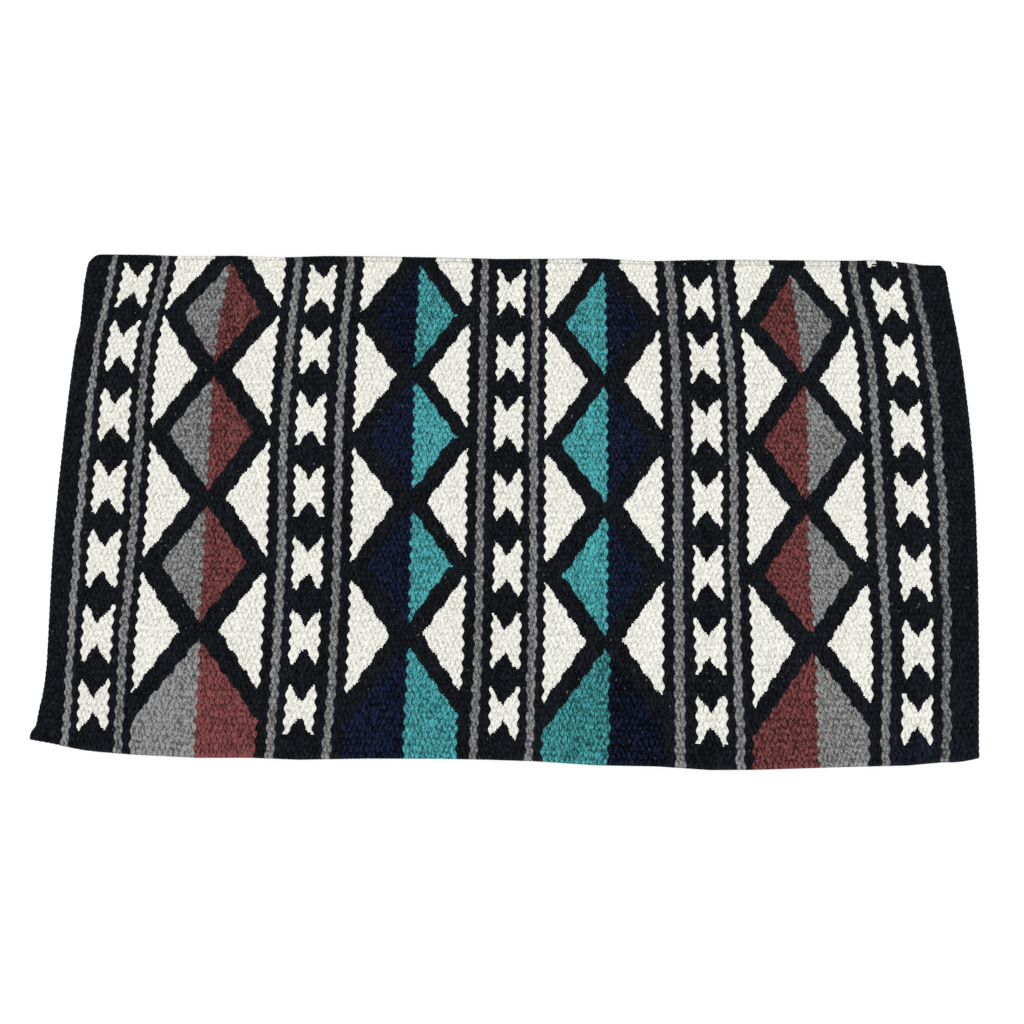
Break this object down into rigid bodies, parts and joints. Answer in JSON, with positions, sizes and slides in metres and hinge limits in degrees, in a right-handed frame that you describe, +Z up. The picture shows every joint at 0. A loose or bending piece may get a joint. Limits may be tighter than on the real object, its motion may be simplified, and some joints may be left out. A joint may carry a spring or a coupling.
{
  "type": "saddle blanket",
  "caption": "Hand-woven wool saddle blanket folded in half along its spine, in colour bands of weft laid over a sheet of warps, opening flat at the fold.",
  "frame": {"origin": "middle of the underside of the folded blanket, on the surface it lies on", "axes": "+X along the horse's spine, parallel to the fold; +Y towards the fold; +Z up through the two layers"},
  "size_m": [0.864, 0.4824, 0.0123],
  "materials": {
    "black_wool": "matt wool",
    "grey_wool": "matt wool, heathered",
    "ivory_wool": "matt wool",
    "red_wool": "matt wool",
    "teal_wool": "matt wool"
  },
  "bodies": {
    "lower_half": {"lower_left_border": "black_wool", "lower_grey_stripe_01": "grey_wool", "lower_spool_band_1": "black_wool", "lower_grey_stripe_02": "grey_wool", "lower_diamond_band_1": "red_wool", "lower_grey_stripe_03": "grey_wool", "lower_spool_band_2": "black_wool", "lower_grey_stripe_04": "grey_wool", "lower_diamond_band_2": "teal_wool", "lower_grey_stripe_05": "grey_wool", "lower_spool_band_3": "black_wool", "lower_grey_stripe_06": "grey_wool", "lower_diamond_band_3": "teal_wool", "lower_grey_stripe_07": "grey_wool", "lower_spool_band_4": "black_wool", "lower_grey_stripe_08": "grey_wool", "lower_diamond_band_4": "red_wool", "lower_grey_stripe_09": "grey_wool", "lower_spool_band_5": "black_wool", "lower_grey_stripe_10": "grey_wool", "lower_right_border": "black_wool", "lower_selvedge_warps": "ivory_wool", "lower_warp_sheet": "ivory_wool"},
    "fold_spine": {"fold_rib_lower": "black_wool", "fold_rib_upper": "black_wool"},
    "upper_half": {"upper_left_border": "black_wool", "upper_grey_stripe_01": "grey_wool", "upper_spool_band_1": "black_wool", "upper_grey_stripe_02": "grey_wool", "upper_diamond_band_1": "red_wool", "upper_grey_stripe_03": "grey_wool", "upper_spool_band_2": "black_wool", "upper_grey_stripe_04": "grey_wool", "upper_diamond_band_2": "teal_wool", "upper_grey_stripe_05": "grey_wool", "upper_spool_band_3": "black_wool", "upper_grey_stripe_06": "grey_wool", "upper_diamond_band_3": "teal_wool", "upper_grey_stripe_07": "grey_wool", "upper_spool_band_4": "black_wool", "upper_grey_stripe_08": "grey_wool", "upper_diamond_band_4": "red_wool", "upper_grey_stripe_09": "grey_wool", "upper_spool_band_5": "black_wool", "upper_grey_stripe_10": "grey_wool", "upper_right_border": "black_wool", "upper_selvedge_warps": "ivory_wool", "upper_warp_sheet": "ivory_wool"}
  },
  "joints": [
    {"name": "lower_fold_hinge", "type": "hinge", "parent": "lower_half", "child": "fold_spine", "pos_m": [0, 0.2384, 0.003], "axis": [-1, 0, 0], "range_deg": [0, 90]},
    {"name": "upper_fold_hinge", "type": "hinge", "parent": "fold_spine", "child": "upper_half", "pos_m": [0, 0.2384, 0.0093], "axis": [-1, 0, 0], "range_deg": [0, 90]}
  ]
}
